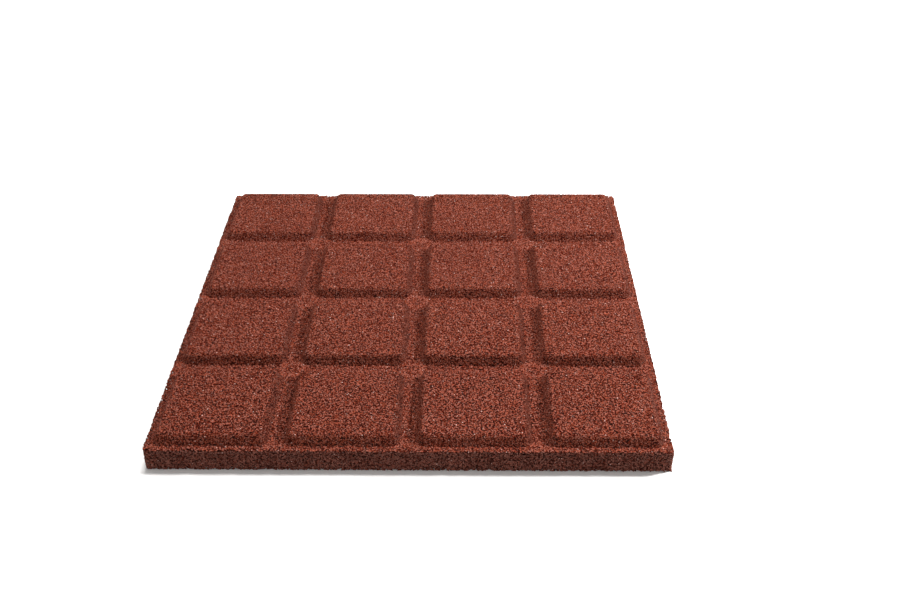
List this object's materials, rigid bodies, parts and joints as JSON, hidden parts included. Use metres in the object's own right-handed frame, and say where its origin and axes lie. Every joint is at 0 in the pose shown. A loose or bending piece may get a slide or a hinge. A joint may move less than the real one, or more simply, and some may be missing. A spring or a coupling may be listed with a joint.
{
  "type": "rubber floor tile",
  "caption": "Square floor tile moulded from bonded red rubber granules: flat wearing face on one side, a grid of square pads with drainage channels between them on the other.",
  "frame": {"origin": "centre of the wearing face, at the bottom of the tile as it lies in the picture", "axes": "+Z out of the pad side, square to the tile; +X and +Y along its sides, with +Y away from the viewer of the picture and +X to the right"},
  "size_m": [0.5, 0.5, 0.034],
  "materials": {
    "rubber_granulate": "matt, coarse bonded granules, brick red with dark gaps"
  },
  "bodies": {
    "root": {"tile": "rubber_granulate"}
  },
  "joints": []
}
